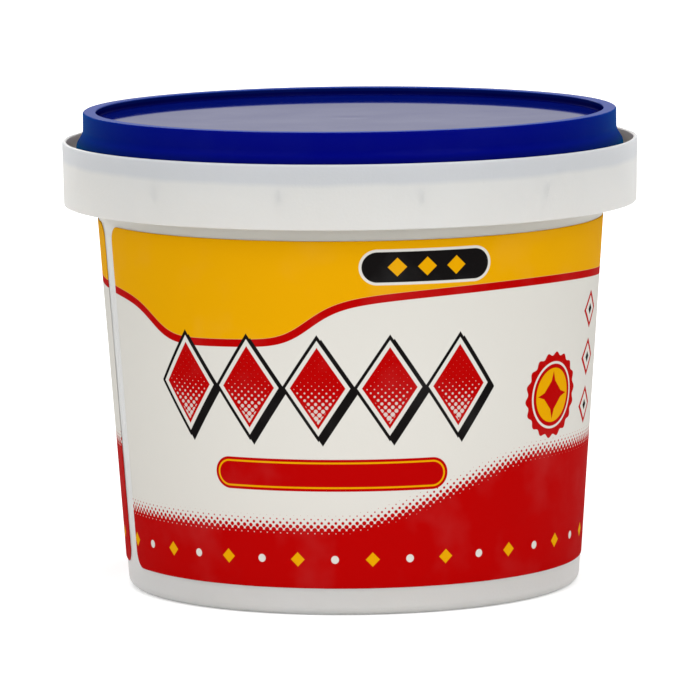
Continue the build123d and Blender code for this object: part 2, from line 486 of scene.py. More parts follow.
def collarOutside(height):
    # Radius of the collar's cone: the top edge's, less the drop from it times the tilt.
    return collarRadius - (collarTop - height) * tilt


def collarInside(height):
    # The outside, less the collar's wall.
    return collarOutside(height) - tub["collarWall"]


def collarCorners():
    # From the inside of its bottom edge round to the inside of its top edge.
    low, high, corner = collarBottom, collarTop, tub["collarRounding"]
    return [
        (collarInside(low), low, corner), (collarOutside(low), low, corner),
        (collarOutside(high), high, corner), (collarInside(high), high, corner),
    ]


def tubLine(stub):
    # Section of the moulding, from the middle of its underside round to the middle of its floor,
    # with a point above and below the ledge at the stub's radius. Corners are (radius, height,
    # rounding).
    gateTop = tub["floorRise"] + tub["gateDepth"]
    floorRadius = ringBore - tub["ringStep"]
    floorBend = tub["floorThickness"] / 2
    neckBore = neckRadius - tub["neckWall"]
    bead = neckRadius + tub["beadReach"]
    beadLow = tubHigh[2] - tub["beadHeight"]
    ledge = tub["ledgeRounding"]
    return openLine([
        (0, gateTop, 0),
        (tub["gateRadius"], gateTop, 0.15),
        (tub["gateRadius"], tub["floorRise"], 0.1),
        (floorRadius, tub["floorRise"], 0.3),
        (ringBore, 0, 0.3),
        (tub["footRadius"], 0, tub["footCorner"]),
        (wallOutside(ledgeBottom), ledgeBottom, ledge),
        (stub, ledgeBottom, 0),
        (collarInside(ledgeBottom), ledgeBottom, ledge / 2),
        *collarCorners(),
        (collarInside(ledgeTop), ledgeTop, ledge / 2),
        (stub, ledgeTop, 0),
        (neckRadius, ledgeTop, ledge),
        (neckRadius, beadLow - tub["beadReach"], 0.1),
        (bead, beadLow, tub["beadRounding"]),
        (bead, tubHigh[2], tub["rimRounding"]),
        (neckBore, tubHigh[2], tub["rimRounding"]),
        (neckBore, ledgeTop, 0.2),
        (wallInside(ledgeTop), ledgeTop, ledge),
        (wallInside(tub["floorThickness"]), tub["floorThickness"], tub["floorCorner"]),
        (ringBore + floorBend, tub["floorThickness"], 0.2),
        (floorRadius + floorBend, floorTop, 0.3),
        (0, floorTop, 0),
    ])


def makeTub(material):
    # The section is turned right round. Where the tab goes, the rows from the ledge's underside
    # round the collar to the ledge's top are left out, one row of faces closes the ledge, and a
    # face of the section closes each side.
    stub = collarInside(collarBottom) - tub["slit"]
    line = tubLine(stub)
    gap = tabHalf + tub["slit"] / collarRadius
    closed = np.linspace(back + gap, back - gap + turn, tub["columns"])
    window = np.linspace(back - gap, back + gap, tub["windowColumns"] + 2)[1:-1]
    points = turnedGrid(line, np.concatenate([closed, window]))
    numbers = gridNumbers(points)
    radius, height = line.T
    lower, upper = (
        np.flatnonzero((abs(radius - stub) < 1e-4) & (abs(height - level) < 1e-4))[0]
        for level in (ledgeBottom, ledgeTop)
    )
    last = len(closed) - 1
    keep = np.ones((len(numbers) - 1, numbers.shape[1]), bool)
    keep[lower:upper, last:] = False
    opened = np.concatenate([numbers[:, last:], numbers[:, :1]], 1)
    near, far = (numbers[None, lower:upper + 1, column] for column in (0, last))
    faces = gridFaces(numbers, keep=keep)
    faces += [*gridFaces(opened[[lower, upper]], around=False), near, far[:, ::-1]]
    shape = joined([(points, faces), *gussetShapes()])
    makePiece("tub_moulding", *shape, "tub", "tub_plastic", "tub", material)


def gussetShapes():
    # Each rib is its outline in four sections across its thickness, the outer two drawn in towards
    # their middle. The ribs are evenly spaced from one side of the tab round to the other.
    foot = collarBottom + tub["gussetLift"]
    toe = ledgeBottom - tub["gussetToe"]
    head = ledgeBottom + tub["ledgeThickness"] / 2
    outline = closedLine([
        (wallOutside(foot) - tub["wall"] / 2, foot, 0.1),
        (collarInside(toe) + tub["collarWall"] / 2, toe, 0.1),
        (collarInside(head) + tub["collarWall"] / 2, head, 0.1),
        (wallOutside(head) - tub["wall"] / 2, head, 0.1),
    ], steps=3, support=0.1)
    middle = outline.mean(0)
    half, draw = tub["gussetThickness"] / 2, tub["gussetDraw"]
    whole = half - tub["gussetEdge"]
    spacing = (turn - 2 * tabHalf) / tub["gussets"]
    for index in range(tub["gussets"]):
        angle = back + tabHalf + (index + 0.5) * spacing
        out = np.array([math.cos(angle), math.sin(angle)])
        side = np.array([-out[1], out[0]])
        sections = []
        for offset, share in ((half, draw), (whole, 1), (-whole, 1), (-half, draw)):
            flat = middle + (outline - middle) * share
            sections.append(np.column_stack([flat[:, :1] * out - offset * side, flat[:, 1]]))
        points = np.stack(sections)
        numbers = gridNumbers(points)
        yield points, gridFaces(numbers) + [numbers[:1, ::-1], numbers[-1:]]


# Break-out tab: the piece of the collar that is torn out to get at the lid's edge

tab = {
    "notch": 2.6,
    "notchWidth": 13.0,
    "ribs": 3,
    "ribHeight": 0.7,
    "ribPitch": 1.9,
    "ribMargin": 2.6,
    "ribSlope": 0.25,  # width over which a rib rises above and below
    "ribFade": 0.3,  # and at its two ends
    "webHeight": 0.7,
    "webThickness": 0.5,
    "webSpread": 7.0,
    "webRounding": 0.1,
    "webRoot": 0.2,  # a web starts this far inside the tab's end
    "columns": 120,
    "rows": 110,  # on the outer side
}


def makeTab(material):
    # The collar's section is carried along the tab's arc. Near a rib's height its outer side moves
    # out to the radius of the collar's top edge, fading to nothing at the rib's ends. Above
    # mid-height, heights shrink towards the middle so that the top edge follows an ellipse:
    # top - notch * sqrt(1 - (along / half width) ** 2).
    outline = closedLine(collarCorners(), steps=5)
    first, *_, last = np.flatnonzero(abs(outline[:, 0] - collarOutside(outline[:, 1])) < 1e-4)
    heights = np.linspace(outline[first, 1], outline[last, 1], tab["rows"])
    outside = np.column_stack([collarOutside(heights), heights])
    line = np.concatenate([outline[:first], outside, outline[last + 1:]])
    angles = np.linspace(back - tabHalf, back + tabHalf, tab["columns"])
    along = (angles - back) * collarRadius
    radius, height = line[:, :1] + 0 * along, line[:, 1:] + 0 * along
    row = np.arange(len(line))[:, None]
    outer = (row >= first) & (row < first + tab["rows"])
    ends = tabHalf * collarRadius - tab["ribMargin"]
    fade = np.clip((ends - abs(along)) / tab["ribFade"], 0, 1)
    rise = collarRadius - tub["collarRounding"] * tilt - collarOutside(line[:, 1:])
    for index in range(tab["ribs"]):
        level = collarMiddle - (index + 0.5) * tab["ribPitch"]
        away = abs(line[:, 1:] - level) - tab["ribHeight"] / 2
        crown = np.clip(0.5 - away / tab["ribSlope"], 0, 1) * outer
        radius = radius + eased(crown) * fade * rise
    width = np.clip(1 - (along / (tab["notchWidth"] / 2)) ** 2, 0, 1)
    upper = np.clip((height - collarMiddle) / (collarTop - collarMiddle), 0, 1)
    height = height - upper * np.sqrt(width) * tab["notch"]
    points = np.stack([radius * np.cos(angles), radius * np.sin(angles), height], 2)
    webs = [webShape(side, lift * tab["webSpread"]) for side in (-1, 1) for lift in (-0.5, 0.5)]
    shape = joined([carriedShape(points), *webs])
    makePiece("tab_moulding", *shape, "tamper_tab", "tub_plastic", "tamper_tab", material)


def webShape(side, lift):
    # A small rounded section carried from just inside the tab's end to the far side of the slit.
    radius = collarOutside(collarMiddle) - tub["collarWall"] / 2
    height = collarMiddle + lift
    wide, high = tab["webThickness"] / 2, tab["webHeight"] / 2
    outline = closedLine([
        (radius - wide, height - high, tab["webRounding"]),
        (radius + wide, height - high, tab["webRounding"]),
        (radius + wide, height + high, tab["webRounding"]),
        (radius - wide, height + high, tab["webRounding"]),
    ], steps=4, support=0.05)
    start, end = tabHalf - tab["webRoot"] / radius, tabHalf + tub["slit"] / collarRadius
    return carriedShape(turnedGrid(outline, back + np.sort(np.array([start, end]) * side)))


# Lid: sunk panel, raised land, channel over the rim, plug skirt and outer flange

lid = {
    "wall": 0.8,
    "plugWall": 0.7,
    "plugDepth": 7.0,  # below the channel's roof
    "plugLead": 0.25,
    "clearance": 0.1,  # rim to the plug skirt inside it, and bead to the channel outside it
    "snapClearance": 0.1,
    "flangeReach": 1.4,
    "flareDrop": 4.4,  # top of the lid down to where its wall flares out
    "flareHeight": 2.3,
    "flareHollow": 3.0,  # rounding where the flare starts
    "flareShoulder": 2.0,  # and where it ends
    "snapPlay": 0.9,
    "snapWidth": 0.7,
    "snapCatch": 0.4,
    "flangeEdge": 0.8,
    "panelDrop": 1.8,
    "panelCorner": 0.5,
    "landRounding": 0.4,
    "edge": 0.2,
    "gateRadius": 5.0,  # faint dip round the moulding gate
    "gateDepth": 0.06,
    "sag": 0.12,  # the panel hangs this much in the middle
    "wave": 0.05,  # two humps round it rise and fall this much
    "waveTurn": 0.6,  # and are turned by this angle
    "columns": 320,
    "rings": 69,  # of the grid on the panel
}


def makeLid(dull, polished):
    # The section is turned right round. The panel then sinks by sag * (1 - share ** 2) ** 2, where
    # share is the radius as a share of the panel's, with a wave of two humps round it, and by half
    # a cosine round the gate. The faces of the panel and the land are polished.
    top = lidHigh[2]
    panel = top - lid["panelDrop"]
    under = panel - lid["wall"]
    roof = top - lid["wall"]
    bead = neckRadius + tub["beadReach"]
    channel = bead + lid["clearance"]
    outer = channel + lid["wall"]
    flange = outer + lid["flangeReach"]
    bore = flange - lid["wall"]
    plug = neckRadius - tub["neckWall"] - lid["clearance"]
    plugBore = plug - lid["plugWall"]
    flare = top - lid["flareDrop"]
    snap = bead + lid["snapClearance"]
    snapTop = tubHigh[2] - tub["beadHeight"] - tub["beadReach"] - lid["snapPlay"]
    snapRoot = snapTop + lid["snapCatch"]
    snapRootRadius = channel + lid["flangeReach"] * (flare - snapRoot) / lid["flareHeight"]
    plugBottom = roof - lid["plugDepth"]
    edge = lid["edge"]
    line = openLine([
        (0, under, 0),
        (plugBore, under, edge),
        (plugBore, plugBottom, edge),
        (plug - lid["plugLead"], plugBottom, edge),
        (plug, plugBottom + 2 * lid["plugLead"], edge),
        (plug, roof, edge),
        (channel, roof, edge),
        (channel, flare, 0.5),
        (snapRootRadius, snapRoot, 0.1),
        (snap, snapTop, 0.1),
        (snap, snapTop - lid["snapWidth"], 0.1),
        (bore, lidLow[2] + lid["flangeEdge"], 0.2),
        (bore, lidLow[2], edge),
        (flange, lidLow[2], edge),
        (flange, flare - lid["flareHeight"], lid["flareShoulder"]),
        (outer, flare, lid["flareHollow"]),
        (outer, top, lid["landRounding"]),
        (plugBore, top, lid["landRounding"]),
        (plugBore, panel, lid["panelCorner"]),
        (0, panel, 0),
    ], steps=8)
    panelEnd = len(line) - 2
    rings = line[panelEnd, 0] * np.linspace(1, 0, lid["rings"] + 1)[1:]
    line = np.concatenate([line[:-1], np.column_stack([rings, np.full(len(rings), panel)])])
    angles = np.linspace(0, turn, lid["columns"], endpoint=False)
    points = turnedGrid(line, angles)
    inner = (np.arange(len(line)) > panelEnd)[:, None]
    share = np.clip(line[:, :1] / line[panelEnd, 0], 0, 1)
    hang = (1 - share ** 2) ** 2
    wave = lid["wave"] * hang * share * np.cos(2 * angles + lid["waveTurn"])
    gate = np.clip(line[:, :1] / lid["gateRadius"], 0, 1)
    dip = lid["gateDepth"] * (1 + np.cos(math.pi * gate)) / 2
    points[..., 2] -= np.where(inner, lid["sag"] * hang + wave + dip, 0)
    faces = gridFaces(gridNumbers(points))
    piece = makePiece("lid_moulding", points, faces, "lid", "lid_plastic", "lid", dull)
    piece.data.materials.append(polished)
    middles = np.empty(3 * len(piece.data.polygons), np.float32)
    piece.data.polygons.foreach_get("center", middles)
    x, y, z = middles.reshape(-1, 3).T / mm
    onTop = (np.hypot(x, y) < outer - lid["landRounding"] / 2) & (z > panel - lid["wall"] / 2)
    piece.data.polygons.foreach_set("material_index", onTop.astype(np.int32))


# Wrap label: a film round the wall, with rounded corners and a bare seam at the left of the front

label = {
    "thickness": 0.2,
    "bond": 0.04,
    "corner": 3.5,
    "seamWidth": 5.4,
    "seamAngle": -73.0,  # degrees from the front, where minus is towards -X
    "edge": 0.45,  # the film rolls down to the wall over this width
    "edgeDrop": 0.12,
    "edgeColumns": 5,
    "columns": 420,
    "rows": 60,
    "ripple": 0.015,
}
labelRadius = wallOutside((labelLow[2] + labelHigh[2]) / 2) + label["bond"] + label["thickness"]
seamHalf = label["seamWidth"] / 2 / labelRadius
labelStart = front + math.radians(label["seamAngle"]) + seamHalf
labelLength = (turn - 2 * seamHalf) * labelRadius
labelHeight = labelHigh[2] - labelLow[2]
frontAt = (front - labelStart) * labelRadius  # from the label's left end to the front


def makeLabel(material):
    # A share of the length and a height give a point on the wall's cone. Near the top and bottom,
    # each row is shorter at both ends by corner - sqrt(corner ** 2 - depth ** 2), the corner's
    # circle. At every edge the outside sinks by drop * (1 - sqrt(1 - slope ** 2)), where slope
    # falls from 1 to 0, and a ripple of two crossed sines runs over it. A second layer lies the
    # film's thickness further in, and a rim joins the two. The print's map holds both shares.
    third = label["rows"] // 3
    corner = label["corner"]
    edgeRows = corner * (1 - np.cos(np.linspace(0, math.pi / 2, third)))
    middleRows = np.linspace(corner, labelHeight - corner, third)[1:-1]
    rows = np.concatenate([edgeRows, middleRows, labelHeight - edgeRows[::-1]])[:, None]
    fromEdge = np.minimum(rows, labelHeight - rows)
    depth = np.clip(corner - fromEdge, 0, None)
    inset = corner - np.sqrt(np.clip(corner ** 2 - depth ** 2, 0, None))
    ends = np.linspace(0, 1, label["edgeColumns"]) ** 1.5 * label["edge"] / labelLength
    middleColumns = np.linspace(0, 1, label["columns"])[1:-1]
    share = np.concatenate([ends, middleColumns, 1 - ends[::-1]])
    along = inset + (labelLength - 2 * inset) * share
    inward = np.minimum(along - inset, labelLength - inset - along)
    nearest = np.minimum(inward, fromEdge)
    slope = 1 - np.clip(nearest / label["edge"], 0, 1)
    rolled = label["edgeDrop"] * (1 - np.sqrt(1 - slope ** 2))
    height = labelLow[2] + rows + 0 * along
    angle = labelStart + along / labelRadius
    ripple = np.sin(angle * 23 + height * 0.11) * np.sin(angle * 7 + height * 0.23) - 1
    radius = wallOutside(height) + label["bond"] + label["thickness"] + label["ripple"] * ripple
    film = label["thickness"] - 2 * label["ripple"]
    points = np.stack([
        np.stack([(radius - sunk) * np.cos(angle), (radius - sunk) * np.sin(angle), height], 2)
        for sunk in (rolled, film)
    ])
    outer, inner = np.arange(points[..., 0].size).reshape(points.shape[:3])
    rim = np.stack([
        np.concatenate([layer[0, :-1], layer[:-1, -1], layer[-1, :0:-1], layer[:0:-1, 0]])
        for layer in (inner, outer)
    ])
    faces = gridFaces(outer, around=False) + gridFaces(inner[:, ::-1], around=False)
    faces += gridFaces(rim)
    piece = makePiece("label_film", points, faces, "tub", "label_film", "wrap_label", material)
    printMap = piece.data.uv_layers.new(name="printMap")
    corners = np.empty(len(piece.data.loops), np.int32)
    piece.data.loops.foreach_get("vertex_index", corners)
    flat = np.stack([along / labelLength, (height - labelLow[2]) / labelHeight], 2)
    flat = np.tile(flat.reshape(-1, 2), (2, 1))[corners]
    printMap.data.foreach_set("uv", flat.astype(np.float32).ravel())


# Paste: it fills the tub, with the spiral that a filling nozzle leaves on top

paste = {
    "clearance": 0.3,
    "ring": 31.0,  # radius of the crest that the nozzle leaves
    "crest": 1.6,
    "dip": 0.6,
    "peak": 2.4,
    "edgeRounding": 0.4,
    "edge": 1.0,  # level margin by the wall
    "ridge": 0.35,  # height of the spiral's ridges
    "pitch": 7.0,
    "drag": 0.12,  # height of the fine marks across them
    "fade": (9, 5),  # ridges fade out over this much at the middle and at the wall
    "rows": 170,
    "columns": 300,
}


def makePaste(material):
    # The section is turned right round. The top is the level plus a smooth ring and peak, plus
    # ridges on a spiral, cos(turn * r / pitch - angle), and fine marks from two crossed sines, both
    # fading out at the wall and at the middle.
    level = pasteHigh[2] - paste["peak"]
    step = ringBore + tub["floorThickness"] / 2 + paste["clearance"]
    side = wallInside(level) - paste["clearance"]
    foot = wallInside(tub["floorThickness"]) - paste["clearance"]
    brink = side - paste["edge"]
    line = openLine([
        (0, floorTop, 0),
        (step - tub["ringStep"], floorTop, 0.3),
        (step, tub["floorThickness"], 0.3),
        (foot, tub["floorThickness"], tub["floorCorner"]),
        (side, level, paste["edgeRounding"]),
        (brink, level, 0),
    ])
    inward = np.linspace(brink, 0, paste["rows"])[1:]
    knots = np.array([0, paste["ring"] / 2, paste["ring"], brink])
    rises = np.array([paste["peak"], paste["dip"], paste["crest"], 0.0])
    slot = np.clip(np.searchsorted(knots, inward, side="right") - 1, 0, 2)
    share = eased((inward - knots[slot]) / (knots[slot + 1] - knots[slot]))
    rise = rises[slot] * (1 - share) + rises[slot + 1] * share
    angle = np.linspace(0, turn, paste["columns"], endpoint=False)
    points = turnedGrid(np.concatenate([line, np.column_stack([inward, level + rise])]), angle)
    radius = inward[:, None]
    middle, wall = paste["fade"]
    fade = np.clip(radius / middle, 0, 1) * np.clip((brink - radius) / wall, 0, 1)
    ridge = np.cos(turn * radius / paste["pitch"] - angle) - 1
    drag = np.sin(5 * angle + 0.4 * radius) * np.sin(0.9 * radius + 2 * angle) - 1
    points[len(line):, :, 2] += fade * (paste["ridge"] * ridge + paste["drag"] * drag)
    faces = gridFaces(gridNumbers(points))
    makePiece("paste", points, faces, "tub", "filler_paste", "filler", material)


# Finishes

tubFinish = {
    "colour": (0.785, 0.785, 0.765),
    "cloud": (0.735, 0.735, 0.71),
    "warm": (0.79, 0.765, 0.70),  # broad warmer patches
    "speck": (0.45, 0.42, 0.36),
    "flangePaintedShade": (0.60, 0.625, 0.66),  # painted shade by the flange behind the collar
    "flangePaintedShadeStrength": 0.75,
    "inner": (0.60, 0.565, 0.51),  # painted shade, warm, on the inside of the collar
    "under": (0.80, 0.76, 0.66),  # warm painted shade on the wall under the ledge
    "roughness": 0.42,
    "through": 0.25,
}


def tubPlastic():
    # Milky polypropylene: faint clouds, moulding lines down the wall, a fine grain and a few
    # specks. Bands of radius and height paint shade: darker and bluer on the collar where the
    # flange stands behind it, warm on the collar's inside, and warm on the wall under the ledge.
    shader = newShader("tubPlastic")
    place = shader.place()
    clouds = shader.noise(place, 45, 4)
    lines = shader.noise(shader.stretched(place, (1, 1, 0.06)), 260, 2)
    grain = shader.noise(place, 1800, 2)
    specks = ((shader.noise(place, 420, 1) - 0.80) * 14).clamped()
    patches = ((shader.noise(place, 16, 1) - 0.46) * 3).clamped()
    colour = shader.mix(tubFinish["colour"], tubFinish["cloud"], clouds * 0.8 + lines * 0.2)
    colour = shader.mix(colour, tubFinish["warm"], patches * 0.5)
    colour = shader.mix(colour, tubFinish["speck"], specks * 0.35)
    across, deep, up = (axis / mm for axis in shader.axes(place))
    radius = across.hypot(deep)
    # Painted shade: darker and bluer on the collar where the lid's flange stands behind it.
    outside = ((radius - collarOutside(lidLow[2]) + 0.4) * 3).clamped()
    beside = ((up - lidLow[2]) * 0.9 + 0.5 + (clouds - 0.5) * 1.5).clamped()
    colour = shader.mix(colour, tubFinish["flangePaintedShade"], outside * beside * tubFinish["flangePaintedShadeStrength"])
    # Painted shade: warmer and darker on the inside of the collar, above the ledge.
    within = ((0.5 - abs(radius - collarInside(lidLow[2]))) * 4).clamped()
    colour = shader.mix(colour, tubFinish["inner"], within * (up - ledgeTop).clamped())
    # Painted shade: a warmer tone on the wall between the label and the ledge, inside the collar.
    sheltered = (up - labelHigh[2] + 1).clamped() * (ledgeTop + 1 - up).clamped()
    behind = (collarInside(collarBottom) - 0.5 - radius).clamped()
    colour = shader.mix(colour, tubFinish["under"], sheltered * behind * 0.8)
    relief = grain * 0.5 + lines * 0.6 + clouds * 1.2
    return shader.finish(
        Base_Color=colour,
        Roughness=tubFinish["roughness"] + 0.08 * (clouds - 0.5) + 0.05 * (grain - 0.5),
        Normal=shader.bump(relief, 0.06 * mm),
        IOR=1.49,
        Transmission_Weight=tubFinish["through"],
        Subsurface_Weight=0.6,
        Subsurface_Radius=(1.0, 0.95, 0.9),
        Subsurface_Scale=0.003,
    )


lidFinish = {
    "colour": (0.0004, 0.0012, 0.165),
    # the panel's blue, painted darker than the outer wall as shade
    "panelShadedColour": (0.0004, 0.0045, 0.12),
    # the land's blue, painted paler and greener as sheen
    "landSheenColour": (0.0005, 0.028, 0.25),
    "low": (0.0002, 0.0005, 0.055),  # painted shade on the outer wall near the flange's edge
    "paintedShadeHeight": 5.2,  # mm above that edge, where the painted shade has gone
    "recessPaintedShade": (0.0001, 0.0004, 0.055),  # painted shade on the wall round the sunk panel
    "haze": (0.02, 0.03, 0.20),
    "roughness": 0.30,
    "panelGloss": 0.44,  # coat on the polished panel
    "landGloss": 0.22,  # on the land round it
    "wallGloss": 0.02,  # and everywhere else
    "bloom": (0.0, 0.40, 0.85),  # sheen on the outer wall, where it turns away
}


def lidShader(name):
    # What both finishes of the lid share: clouds of haze, hairline scratches where a stretched
    # noise crosses 0.5, and a fine grain.
    shader = newShader(name)
    place = shader.place()
    clouds = shader.noise(place, 60, 4)
    grain = shader.noise(place, 1500, 2)
    scuffs = shader.noise(shader.stretched(place, (0.25, 1.0, 1.0)), 900, 2)
    scratches = (0.5 - abs(scuffs - 0.5) * 60).clamped()
    haze = (clouds - 0.45) * 0.25 + 0.03 * scratches
    sockets = {
        "Roughness": lidFinish["roughness"] + 0.12 * (clouds - 0.5) + 0.10 * scratches,
        "Normal": shader.bump(grain * 0.25 + clouds, 0.08 * mm),
        "IOR": 1.49,
        "Specular_IOR_Level": 0.0,
        "Coat_IOR": 1.49,
        "Coat_Roughness": 0.05,
    }
    return shader, place, clouds, haze, sockets


def lidDull():
    # Outside of the lid: a dull wall with a pale bloom, and painted shade towards the flange's
    # edge.
    shader, place, _, haze, sockets = lidShader("lidDull")
    colour = shader.mix(lidFinish["colour"], lidFinish["haze"], haze)
    height = shader.axes(place)[2] / mm
    # Painted shade: darker towards the flange's edge, beside the collar.
    lower = ((lidLow[2] + lidFinish["paintedShadeHeight"] - height) / 1.8).clamped()
    return shader.finish(
        Base_Color=shader.mix(colour, lidFinish["low"], lower * 0.85),
        Coat_Weight=lidFinish["wallGloss"],
        Sheen_Weight=0.25,
        Sheen_Roughness=0.4,
        Sheen_Tint=(*lidFinish["bloom"], 1),
        **sockets,
    )


def lidPolished():
    # Top of the lid: the panel and the land face up and take a gloss, and the wall between them
    # doesn't. The panel is painted darker than the outer wall as shade, the land paler as painted
    # sheen, and the wall between them darker still as painted shade.
    shader, place, clouds, haze, sockets = lidShader("lidPolished")
    height = shader.axes(place)[2] / mm
    facingUp = shader.axes(shader.node("ShaderNodeTexCoord", {}, {}, "Normal"))[2]
    level = ((facingUp - 0.97) * 60).clamped()
    rounded = ((facingUp - 0.35) * 2.5).clamped()
    onLand = ((height - (lidHigh[2] - lid["panelDrop"] / 2)) * 9).clamped()
    # Painted shade and sheen: the panel darker than the outer wall, the land paler.
    colour = shader.mix(lidFinish["panelShadedColour"], lidFinish["landSheenColour"], onLand)
    colour = shader.mix(colour, lidFinish["haze"], haze * 0.6)
    # Painted shade where the top neither faces up nor rounds the land: the wall round the panel.
    colour = shader.mix(colour, lidFinish["recessPaintedShade"], (1 - level.larger(rounded * onLand)) * 0.85)
    panelGloss = level * (1 - onLand) * (0.85 + 0.3 * clouds) * lidFinish["panelGloss"]
    landGloss = rounded * onLand * lidFinish["landGloss"]
    return shader.finish(
        Base_Color=colour,
        Coat_Weight=panelGloss + landGloss + lidFinish["wallGloss"],
        **sockets,
    )


pasteFinish = {
    "colour": (0.80, 0.785, 0.74),
    # darker paste for random clouds, and painted shade in the pinholes
    "shade": (0.70, 0.68, 0.62),
    "roughness": 0.5,
}


def pasteWhite():
    # Smooth filled paste: chalky, damp, with fine grit and a few pinholes.
    shader = newShader("pasteWhite")
    place = shader.place()
    clouds = shader.noise(place, 70, 4)
    grit = shader.noise(place, 1400, 3)
    pits = shader.node("ShaderNodeTexVoronoi", {}, {"Vector": place, "Scale": 240}, "Distance")
    pinholes = ((0.16 - pits) * 9).clamped()
    # Darker in random clouds, and painted shade in the pinholes.
    shade = clouds * 0.5 + pinholes * 0.5
    relief = grit * 0.5 + clouds * 1.5 - pinholes * 2
    return shader.finish(
        Base_Color=shader.mix(pasteFinish["colour"], pasteFinish["shade"], shade),
        Roughness=pasteFinish["roughness"] + 0.2 * (clouds - 0.5) + 0.15 * (grit - 0.5),
        Normal=shader.bump(relief, 0.12 * mm),
        Subsurface_Weight=0.2,
        Subsurface_Radius=(1.0, 0.9, 0.7),
        Subsurface_Scale=0.0015,
    )


# Print on the label, in millimetres: centres along it from the front, levels above the ground.
# Half is half of a shape's width, and tall is half of its height.

inks = {
    "film": (0.675, 0.66, 0.61),
    "yellow": (0.74, 0.355, 0.0003),
    "red": (0.43, 0.0004, 0.0004),
    "black": (0.006, 0.005, 0.005),
}
artwork = {
    "soft": 0.10,  # width of a printed edge
    "dots": {"pitch": 1.05, "full": 0.72, "soft": 0.12},  # halftone
    "foot": {"low": 16.5, "rise": 13.0, "centre": 20.0, "half": 26.0, "fringe": 4.5, "lap": 0.2},
    "beads": {"level": 11.7, "pitch": 8.0, "half": 1.5, "disc": 0.825},
    "band": {"low": 66.0, "wave": 1.6, "waveLength": 158.0},  # yellow band's lower edge
    "drape": {"centre": -27.0, "half": 19.0, "depth": 8.0},  # where it hangs lower
    "rule": 1.6,  # width of the red rule under the band
    "diamonds": {"centre": -7.0, "level": 47.0, "pitch": 14.6, "count": 5, "half": 6.2, "tall": 9.2,
                 "shadow": 0.9, "black": 1.0, "white": 0.35, "red": -0.45, "clear": -1.0},
    "plate": {"centre": -5.0, "level": 29.1, "half": 25.0, "tall": 3.3,
              "inset": 0.75, "line": 0.36},
    "badge": {"centre": 15.0, "level": 71.7, "half": 13.0, "tall": 3.1, "margin": 0.55,
              "gem": 1.922, "pitch": 6.0, "count": 3},
    "seal": {"centre": 48.0, "level": 42.5, "radius": 8.6, "scallops": 18, "scallop": 0.35,
             "margin": 0.8, "ring": 6.7, "line": 0.5, "middle": 5.6, "star": (3.6, 5.0, 1.6)},
    "column": {"centre": 64.5, "level": 48.5, "pitch": 10.0, "count": 3, "half": 4.0},
    "backRow": {"centre": 161.0, "level": 46.5, "pitch": 14.0, "count": 5, "half": 4.6},
    "backFrame": {"half": 40.0, "tall": 10.5, "rounding": 3.0, "line": 0.8},
    "gem": {"line": 0.8, "middle": 2.0},  # of the small diamonds
}


class Sheet:
    # The label as it is printed. A shape is a distance to its edge, below zero inside it.
    def __init__(self, shader):
        self.shader = shader
        u, v, _ = shader.axes(shader.node("ShaderNodeUVMap", {"uv_map": "printMap"}, {}))
        self.along = u * labelLength - frontAt
        self.height = v * labelHeight + labelLow[2]
        self.colour = inks["film"]

    def lay(self, ink, mask):
        # Covers the colour with an ink where the mask is 1.
        self.colour = self.shader.mix(self.colour, inks[ink], mask)

    def fill(self, ink, distance, *masks):
        # Lays an ink inside a shape, where every mask is 1.
        self.lay(ink, math.prod(masks, start=distance.inside(artwork["soft"])))

    def near(self, motif):
        # Distance from a motif's centre along the label, and up from its level.
        return self.along - motif["centre"], self.height - motif["level"]

    def above(self, edge):
        # Distance above a curve: the height over it divided by root(1 + slope ** 2).
        slope = edge(self.along + 0.5) - edge(self.along - 0.5)
        return (self.height - edge(self.along)) / (1 + slope * slope).math("SQRT")

    def dots(self, amount):
        # Halftone: dots on a grid turned by 45 degrees, whose radius grows with the amount.
        dots = artwork["dots"]
        diagonal = dots["pitch"] * math.sqrt(2)
        across = ((self.along + self.height) / diagonal).fraction() - 0.5
        up = ((self.along - self.height) / diagonal).fraction() - 0.5
        return (across.hypot(up) - amount * dots["full"]).inside(dots["soft"])


def diamond(at, up, half, tall):
    # (|at| / half + |up| / tall - 1) times half * tall / the length of a side.
    return (abs(at) / half + abs(up) / tall - 1) * (half * tall / math.hypot(half, tall))


def roundedBox(at, up, half, tall, rounding):
    # Distance to a smaller box, less the rounding of the corners.
    beyond, over = abs(at) - (half - rounding), abs(up) - (tall - rounding)
    return beyond.larger(0).hypot(over.larger(0)) - rounding


def inRow(run, row):
    # Distance to the nearest of the row's places, a pitch apart about its middle, and a mask that
    # ends after an odd count of them.
    nearest = ((run / row["pitch"] + 0.5).fraction() - 0.5) * row["pitch"]
    return nearest, (abs(run) - row["count"] * row["pitch"] / 2).inside(artwork["soft"])


def footEdge(along):
    # A smooth rise between two levels: low + rise * smooth step.
    foot = artwork["foot"]
    share = ((along - foot["centre"]) / (2 * foot["half"]) + 0.5).clamped()
    return foot["low"] + foot["rise"] * eased(share)


def bandEdge(along):
    # A long sine wave, less a flat-bottomed dip: depth / (1 + ((along - centre) / half) ** 6).
    band, drape = artwork["band"], artwork["drape"]
    wave = (along * (turn / band["waveLength"])).math("SINE") * band["wave"]
    away = (along - drape["centre"]) / drape["half"]
    square = away * away
    return band["low"] + wave - drape["depth"] / (1 + square * square * square)


